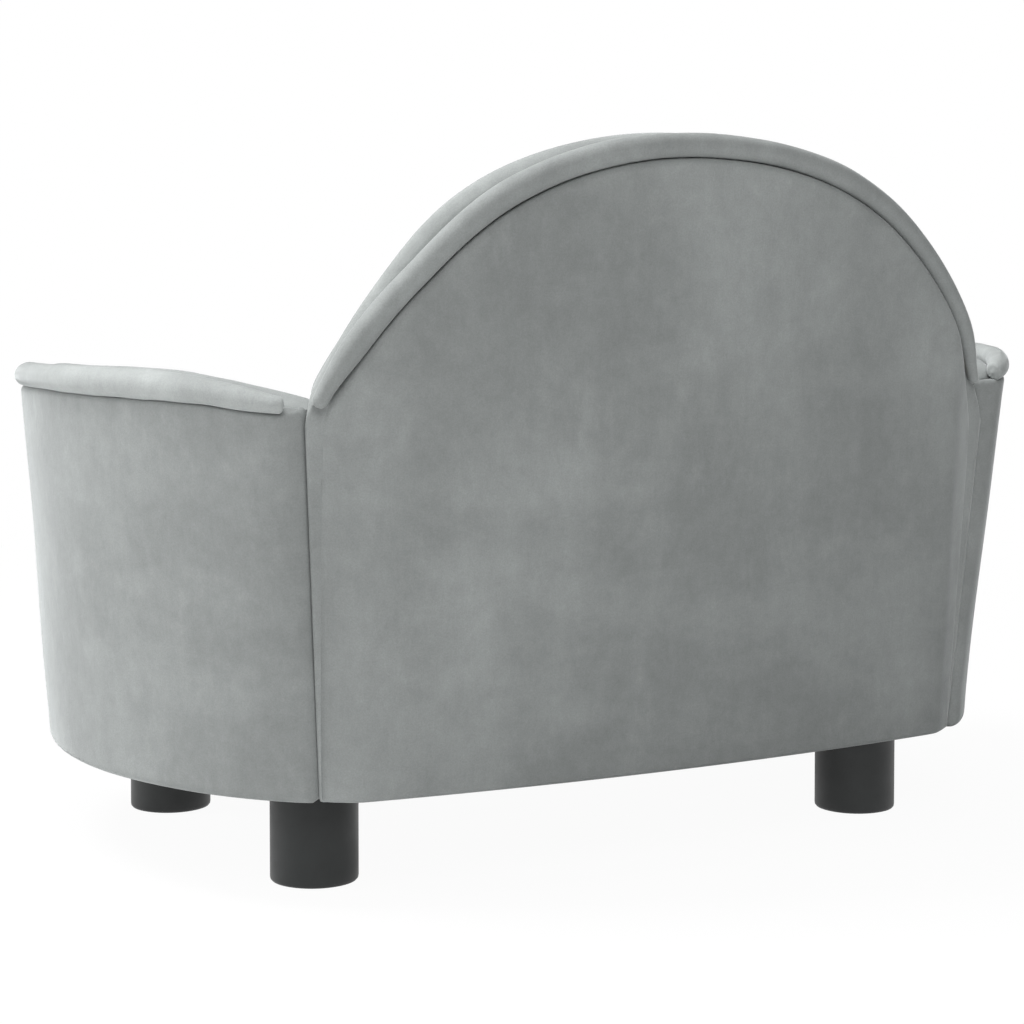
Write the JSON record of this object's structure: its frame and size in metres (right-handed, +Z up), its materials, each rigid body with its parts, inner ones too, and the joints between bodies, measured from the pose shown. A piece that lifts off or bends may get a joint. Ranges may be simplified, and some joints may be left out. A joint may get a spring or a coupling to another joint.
{
  "type": "dog sofa bed",
  "caption": "Small upholstered dog sofa with curved flared arms, a leaning round-topped back with rolled edges, a loose seat cushion and round feet.",
  "frame": {"origin": "on the floor under the middle of the whole sofa", "axes": "+X across to the sitter's left, +Y towards the back, +Z up"},
  "size_m": [0.48, 0.32, 0.32],
  "materials": {
    "velvet": "short-pile grey velvet with a soft nap",
    "wood": "raw plywood and pine",
    "foam": "cream polyurethane foam",
    "wadding": "white polyester wadding",
    "dust_cloth": "black non-woven cloth",
    "foot_plastic": "satin black",
    "zinc_steel": "zinc plated",
    "zip_tape": "woven grey tape",
    "zip_plastic": "grey nylon coil"
  },
  "bodies": {
    "sofa_frame": {"seat_deck": "wood", "front_rail_board": "wood", "back_board": "wood", "arm_board_left": "wood", "arm_board_right": "wood", "foot_block_front_left": "wood", "foot_block_front_right": "wood", "foot_block_rear_left": "wood", "foot_block_rear_right": "wood", "arm_post_left": "wood", "arm_post_right": "wood", "back_post_left": "wood", "back_post_right": "wood", "arm_bolts": "zinc_steel", "threaded_inserts": "zinc_steel", "foot_bolts": "zinc_steel", "t_nuts": "zinc_steel", "deck_screws": "zinc_steel", "dust_cloth_tacks": "zinc_steel", "dust_cloth": "dust_cloth", "back_wadding": "wadding", "arm_wadding_left": "wadding", "arm_wadding_right": "wadding", "front_wadding": "wadding", "back_foam": "foam", "arm_foam_left": "foam", "arm_foam_right": "foam", "back_cover_rear": "velvet", "back_cover_front": "velvet", "arm_cover_outer_left": "velvet", "arm_cover_outer_right": "velvet", "arm_cover_inner_left": "velvet", "arm_cover_inner_right": "velvet", "front_border_cover": "velvet", "back_roll": "velvet", "arm_roll_left": "velvet", "arm_roll_right": "velvet", "foot_front_left": "foot_plastic", "foot_front_right": "foot_plastic", "foot_rear_left": "foot_plastic", "foot_rear_right": "foot_plastic"},
    "seat_cushion": {"cushion_foam": "foam", "cushion_top_panel": "velvet", "cushion_boxing": "velvet", "cushion_bottom_panel": "velvet", "zip_tapes": "zip_tape", "zip_coil": "zip_plastic"},
    "zip_slider": {"zip_slider": "zinc_steel", "zip_puller": "zinc_steel"}
  },
  "joints": [
    {"name": "cushion_lift", "type": "slide", "parent": "sofa_frame", "child": "seat_cushion", "axis": [0, 0, 1], "range_m": [0, 0.2]},
    {"name": "zip_slide", "type": "slide", "parent": "seat_cushion", "child": "zip_slider", "axis": [1, 0, 0], "range_m": [0, 0.206]}
  ]
}
